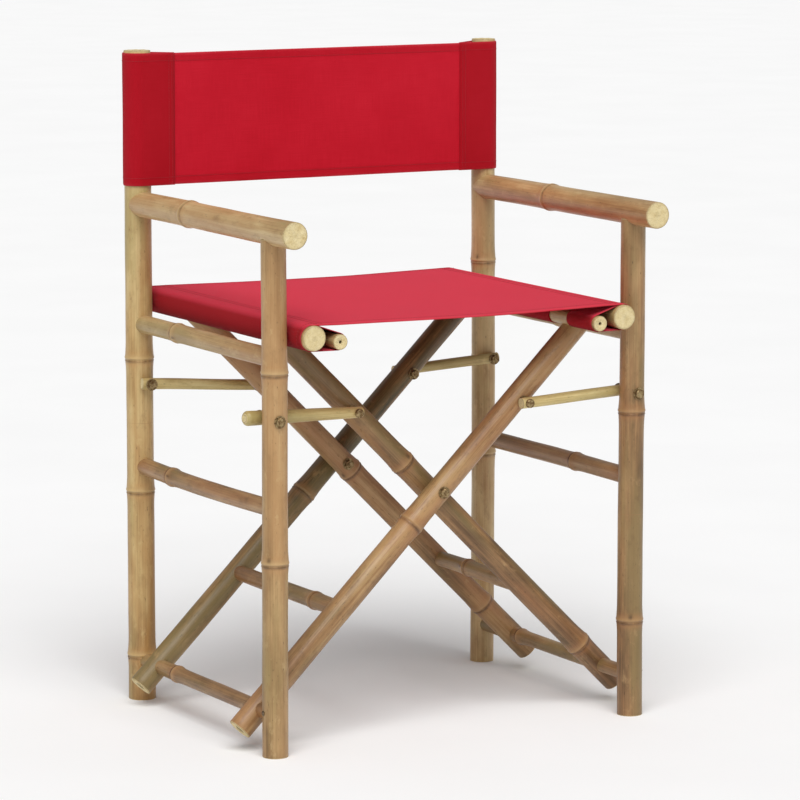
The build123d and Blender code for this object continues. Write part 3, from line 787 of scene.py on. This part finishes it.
def seat_profile(pole, thin):
    """Half of the seat's path across the chair, from its middle to the seam of the right tunnel.

    It runs over the seat pole, down, under the rod, round it, and back up to where it is sewn.
    """
    around = SEAT_POLE_R[0] + GAP + CLOTH / 2
    under = SEAT_ROD_R[0] + GAP + CLOTH / 2
    slope = math.atan2(pole.z - thin.z, pole.x - thin.x)
    turn = math.pi / 2 + math.asin((around - under) / math.hypot(pole.x - thin.x, pole.z - thin.z))

    def on_circle(centre, radius, angle):
        return np.array((centre.x + radius * math.cos(angle), centre.z + radius * math.sin(angle)))

    leave = on_circle(thin, under, slope + turn)
    rise = math.tan(slope + turn - math.pi / 2)
    sewn_z = pole.z + around - CLOTH * 1.06
    sewn = (leave[0] + (sewn_z - leave[1]) / rise, sewn_z)
    path = line_and_arcs((
        ("run", (0.0, pole.z + around), (pole.x, pole.z + around)),
        ("arc", (pole.x, pole.z), around, math.pi / 2, slope - turn),
        ("run", on_circle(pole, around, slope - turn), on_circle(thin, under, slope - turn)),
        ("arc", (thin.x, thin.z), under, slope - turn, slope + turn - 2 * math.pi),
        ("run", leave, sewn),
    ), PATH_STEP)
    return path, around


def seat_openings(path, lines, on_top, leg_rows, pole, around):
    """Which cells of the seat are cloth: a tunnel is open where a leg passes through it."""
    keep = np.ones((len(path) - 1, len(lines) - 1), bool)
    for r in range(len(path) - 1):
        px, pz = (path[r] + path[r + 1]) / 2
        under = abs(px) < pole.x + SLOT_PAST_POLE and pz < pole.z
        inner_side = abs(px) < pole.x - around * 0.5 and not on_top[r]
        too_high = pz >= pole.z + around - SLOT_BELOW_TOP or (on_top[r] and on_top[r + 1])
        if too_high or not (under or inner_side):
            continue
        for c in range(len(lines) - 1):
            y = (lines[c] + lines[c + 1]) / 2
            if min(abs(y - leg_y) for leg_y in leg_rows[1 if px > 0 else -1]) < SLOT_HALF:
                keep[r, c] = False
    return keep


def seat_stitches(path, normals, lines, outer, on_top, pole_x):
    """The seat's rows of stitches: one along each hem and two along each tunnel."""
    facing = [(normal[0], 0, normal[1]) for normal in normals]
    front, back = lines[0], lines[-1]
    top = np.flatnonzero(on_top)
    hem_rows = range(top[0] - HEM_STITCH_REACH, top[-1] + HEM_STITCH_REACH + 1)
    stitches = []
    for target in (front + HEM_STITCH, back - HEM_STITCH):
        c = int(np.argmin(np.abs(lines - target)))
        stitches.append(([outer[r, c] for r in hem_rows], [facing[r] for r in hem_rows]))
    inside = np.flatnonzero((lines > front + 0.002) & (lines < back - 0.002))
    for sign in (-1, 1):
        for inset in TUNNEL_STITCHES:
            r = int(np.argmin(np.abs(path[:, 0] - sign * (pole_x - inset)) + 10 * ~on_top))
            stitches.append(([outer[r, c] for c in inside], [facing[r]] * len(inside)))
    return stitches


def seat_cover():
    """The canvas seat, with a tunnel sewn at each side round a seat pole and a rod."""
    left, right = middle("seat_pole_left"), middle("seat_pole_right")
    thin = middle("seat_rod_right")
    low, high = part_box("seat_canvas")
    half, around = seat_profile(right, thin)
    path = np.concatenate([half[::-1] * np.array((-1, 1)), half[1:]])
    normals, along = strip_normals(path)
    front, back = low.y, high.y
    lines = [front + e for e in HEM_LINES] + [back - e for e in HEM_LINES]
    lines += list(np.linspace(front + HEM + 0.008, back - HEM - 0.008, SEAT_LINES))
    leg_rows = {sign: [middle(leg).y for leg in legs]
                for sign, legs in ((1, ("leg_a_front", "leg_a_rear")), (-1, ("leg_b_front", "leg_b_rear")))}
    slot_edges = [y + s * SLOT_HALF for ys in leg_rows.values() for y in ys for s in (-1, 1)]
    lines = [y for y in lines if min(abs(y - e) for e in slot_edges) > 0.0012]
    lines = np.array(sorted(lines + slot_edges))
    rows, columns = len(path), len(lines)
    centre = len(half) - 1
    top_rows = int(np.argmax(half[:, 0] >= right.x - 1e-6))
    on_top = np.abs(np.arange(rows) - centre) <= top_rows
    outer = np.zeros((rows, columns, 3))
    inner = np.zeros((rows, columns, 3))
    fields = cloth_fields(rows, columns)
    for r in range(rows):
        px, pz = path[r]
        nx, nz = normals[r]
        share = min(1.0, abs(px) / right.x) if on_top[r] else 1.0
        for c, y in enumerate(lines):
            rim = min(y - front, back - y)
            depth = (y - front) / (back - front)
            hem = hem_share(rim)
            taut = (1 - share * share) ** 1.5
            drop = -SEAT_SAG * taut * (0.4 + 0.6 * math.sin(math.pi * depth))
            ripple = 0.0
            if on_top[r]:
                calm = min(1.0, 10 * (1 - share))
                pull = noise.noise(Vector((px * 6, y * 30, 3.1 if px < 0 else 9.7)))
                broad = noise.noise(Vector((px * 8 + 5, y * 7, 1.3)))
                ripple = SEAT_RIPPLE * (math.exp(-(1 - share) / 0.2) * pull + broad) * calm
            drop -= SEAT_HEM_DROP * (1 - float(smooth(0.0, 0.006, rim))) * min(1.0, 6 * (1 - share))
            base = np.array((px + nx * ripple, y, pz + nz * ripple + drop))
            side = np.array((nx, 0, nz))
            rounding = edge_rounding(rim)
            fold = HEM_FOLD * hem if on_top[r] else 0.0
            outer[r, c] = base + side * (CLOTH / 2 - rounding)
            inner[r, c] = base - side * (CLOTH / 2 + fold - rounding)
            fields["cloth_co"][r, c] = (along[r], y, 0)
            # painted shade: off the top, cloth that faces down is darkened through the same value as double
            # layers
            painted_shade_below = 0.0 if on_top[r] else float(smooth(-0.97, -0.6, -nz))
            fields["doubled_and_painted_shade"][r, c] = 0.2 * hem + 0.8 * painted_shade_below
            fields["edge"][r, c] = 1 - float(smooth(0.0, 0.0035, rim))
    keep = seat_openings(path, lines, on_top, leg_rows, right, around)
    stitches = seat_stitches(path, normals, lines, outer, on_top, right.x)
    cover = cloth_sheet("seat_cover", outer, inner, keep, fields, stitches)
    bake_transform(cover)
    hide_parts("seat_canvas")


seat_cover()


# -- back
SLEEVE_WIDTH = 0.065       # from a post's outer side to the seam
SLEEVE_STITCHES = (0.003, 0.0075)      # from the seam's edge to its two rows
SLEEVE_DOUBLED = 0.55
SLEEVE_WAVE = 0.0004
FLAP_DEPTH = 2.1 * CLOTH   # from a sleeve's front layer to its rear one at the seam
PANEL_TUCK = 0.022         # how far the panel runs on inside each sleeve
PANEL_BEHIND = 1.05 * CLOTH
PANEL_INSET = 0.0006       # the panel is this much lower than the sleeves, top and bottom
PANEL_WAVE = 0.0016
PANEL_STEP = 0.005
BACK_LINES = 40            # lines of points from hem to hem


def upright_strip(name, path, outward, low_z, high_z, doubled_and_painted_shade, wave, seams=(), tucked=False):
    """A strip of the back canvas: a path in plan, from low_z to high_z, hemmed above and below.

    outward turns the path's normals to the side that shows. wave is the height of its ripples, and
    seams are distances along the path that carry a row of stitches. A tucked strip has its ends
    inside other pieces: it is calm there, and its hems are thin.
    """
    normals, along = strip_normals(path)
    normals = normals * outward
    lines = [low_z + e for e in HEM_LINES] + [high_z - e for e in HEM_LINES]
    lines += list(np.linspace(low_z + HEM + 0.007, high_z - HEM - 0.007, BACK_LINES))
    lines = np.array(sorted(lines))
    rows, columns = len(path), len(lines)
    outer = np.zeros((rows, columns, 3))
    inner = np.zeros((rows, columns, 3))
    fields = cloth_fields(rows, columns)
    for r in range(rows):
        px, py = path[r]
        nx, ny = normals[r]
        for c in range(columns):
            z = lines[c]
            rim = min(z - low_z, high_z - z)
            hem = hem_share(rim)
            ripple = wave * noise.noise(Vector((px * 9, z * 11, 4.4)))
            ripple += wave * 0.35 * noise.noise(Vector((px * 40, z * 9, 8.4)))
            if tucked:
                ends = min(along[r], along[-1] - along[r])
                ripple *= float(smooth(0.02, 0.06, ends))
            rounding = edge_rounding(rim)
            fold = 0.0 if tucked else HEM_FOLD * hem
            base = np.array((px + nx * ripple, py + ny * ripple, z))
            side = np.array((nx, ny, 0))
            outer[r, c] = base + side * (CLOTH / 2 - rounding)
            inner[r, c] = base - side * (CLOTH / 2 + fold - rounding)
            fields["cloth_co"][r, c] = (along[r], z, 0)
            fields["doubled_and_painted_shade"][r, c] = max(doubled_and_painted_shade, 0.25 * hem)
            fields["edge"][r, c] = 1 - float(smooth(0.0, 0.003, rim))
    keep = np.ones((rows - 1, columns - 1), bool)
    if outward < 0:
        outer, inner = outer[::-1], inner[::-1]
        fields = {key: value[::-1] for key, value in fields.items()}
        normals = normals[::-1]
        along = along[-1] - along[::-1]
        seams = [along[-1] - s for s in seams]
    stitches = []
    for column_z in (low_z + HEM_STITCH, high_z - HEM_STITCH):
        column = int(np.argmin(np.abs(lines - column_z)))
        stitches.append(([outer[r, column] for r in range(rows)],
                         [(normals[r][0], normals[r][1], 0) for r in range(rows)]))
    for distance in seams:
        r = int(np.argmin(np.abs(along - distance)))
        used = range(2, columns - 2)
        stitches.append(([outer[r, c] for c in used], [(normals[r][0], normals[r][1], 0) for _ in used]))
    return cloth_sheet(name, outer, inner, keep, fields, stitches)


def back_cover():
    """The back canvas: a sleeve round each rear post and a panel between them."""
    low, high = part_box("back_canvas")
    sleeves = {}
    for name, sign in (("left", -1), ("right", 1)):
        post = middle(f"{name}_rear_post")
        ring = REAR_POST_R[name][0] + GAP + CLOTH / 2
        seam = sign * (abs(post.x) + ring - SLEEVE_WIDTH)
        front_y = post.y - ring
        flap_y = front_y + FLAP_DEPTH
        reach = math.hypot(post.x - seam, post.y - flap_y)
        touch = math.acos(ring / reach) - math.asin((post.y - flap_y) / reach)
        first, last = (math.pi - touch, -math.pi / 2) if sign > 0 else (touch, 3 * math.pi / 2)
        touch_point = (post.x + ring * math.cos(first), post.y + ring * math.sin(first))
        path = line_and_arcs((
            ("run", (seam, flap_y), touch_point),
            ("arc", (post.x, post.y), ring, first, last),
            ("run", (post.x, front_y), (seam, front_y)),
        ), PATH_STEP)
        total = strip_normals(path)[1][-1]
        piece = upright_strip(f"back_sleeve_{name}", path, sign, low.z, high.z, SLEEVE_DOUBLED, SLEEVE_WAVE,
                              seams=[total - inset for inset in SLEEVE_STITCHES])
        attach(piece, f"{name}_frame")
        sleeves[name] = (seam, front_y)
    left_seam, left_y = sleeves["left"]
    right_seam, right_y = sleeves["right"]
    first = (left_seam - PANEL_TUCK, left_y + PANEL_BEHIND)
    last = (right_seam + PANEL_TUCK, right_y + PANEL_BEHIND)
    path = line_and_arcs((("run", first, last),), PANEL_STEP)
    panel = upright_strip("back_panel", path, -1, low.z + PANEL_INSET, high.z - PANEL_INSET, 0.0, PANEL_WAVE,
                          tucked=True)
    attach(panel, "left_frame")
    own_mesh(panel)
    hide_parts("back_canvas")


back_cover()


# ---- fasteners ----------------------------------------------------------------------
def steel(name, bright, dull, rust, amount):
    """Plated steel gone dull: scratches, stains and a little rust."""
    g = Graph(name)
    place = g.add("ShaderNodeTexCoord").outputs["Object"]
    fine = g.noise(place, 1800, 4, 0.6)
    stain = g.noise(place, 260, 4, 0.6)
    metal = g.ramp(fine, (0.3, dull), (0.7, bright))
    metal = g.mix(g.ramp(stain, (0.5 - amount * 0.2, 0.0), (0.72 - amount * 0.2, 0.9)), metal, rust)
    g.colour(metal)
    g.set("Metallic", 0.85)
    g.roughness(g.ramp(stain, (0.35, 0.38), (0.65, 0.68)))
    g.relief(g.math("ADD", fine, stain), 0.00025)
    return g.material


def dress_fasteners():
    """Gives each CAD fastener its metal."""
    bolt = steel("dull_bolt_steel", srgb(196, 176, 134), srgb(150, 126, 86), srgb(104, 76, 44), 0.5)
    screw = steel("dark_screw_steel", srgb(150, 134, 108), srgb(96, 82, 62), srgb(74, 50, 30), 0.6)
    for node, obj in NODES.items():
        if any(word in node for word in ("screws", "nails")):
            finish = screw
        elif any(word in node for word in ("bolt", "nuts", "washers", "studs")):
            finish = bolt
        else:
            continue
        obj.data.materials.clear()
        obj.data.materials.append(finish)


dress_fasteners()


# ---- stage, light and camera --------------------------------------------------------
FLOOR_REACH = 80.0
FLOOR_SIDES = 48
KEY_FROM = (-0.35, -0.75, 1.15)
KEY_STRENGTH = 2.5
KEY_ANGLE = 48             # degrees of sky that the light fills, for soft shadows
ROOM_STRENGTH = 0.36
CAMERA_AT = (-2.691, -5.021, 1.2506)
CAMERA_AIM = (0.0192, -0.0003, 0.4168)
LENS = 194.3
SENSOR_WIDTH = 36.0


def studio():
    """A wide pale floor."""
    g = Graph("studio_floor")
    place = g.add("ShaderNodeTexCoord").outputs["Object"]
    g.colour(g.ramp(g.noise(place, 3.0, 2), (0.3, 0.95), (0.7, 0.97)))
    g.set("Roughness", 0.9)
    g.set("Specular IOR Level", 0.1)
    angles = [k * 2 * math.pi / FLOOR_SIDES for k in range(FLOOR_SIDES)]
    ring = [(FLOOR_REACH * math.cos(angle), FLOOR_REACH * math.sin(angle), 0.0) for angle in angles]
    floor = make_object("studio_floor", ring, [tuple(range(FLOOR_SIDES))], [g.material])


def lights():
    """One broad soft light from above the front left, in a pale room."""
    light = bpy.data.lights.new("key", "SUN")
    light.energy = KEY_STRENGTH
    light.angle = math.radians(KEY_ANGLE)
    key = bpy.data.objects.new("key", light)
    key.rotation_euler = (-Vector(KEY_FROM)).to_track_quat("-Z", "Y").to_euler()
    bpy.context.scene.collection.objects.link(key)
    world = bpy.data.worlds.new("room")
    world.use_nodes = True
    background = world.node_tree.nodes["Background"]
    background.inputs["Color"].default_value = (1, 1, 1, 1)
    background.inputs["Strength"].default_value = ROOM_STRENGTH
    bpy.context.scene.world = world
    bpy.context.scene.view_settings.view_transform = "Standard"


def camera():
    """A long lens from the front left, a little above the seat."""
    data = bpy.data.cameras.new("camera")
    data.lens = LENS
    data.sensor_width = SENSOR_WIDTH
    obj = bpy.data.objects.new("camera", data)
    obj.location = CAMERA_AT
    obj.rotation_euler = (Vector(CAMERA_AIM) - Vector(CAMERA_AT)).to_track_quat("-Z", "Y").to_euler()
    bpy.context.scene.collection.objects.link(obj)
    bpy.context.scene.camera = obj


studio()
lights()
camera()
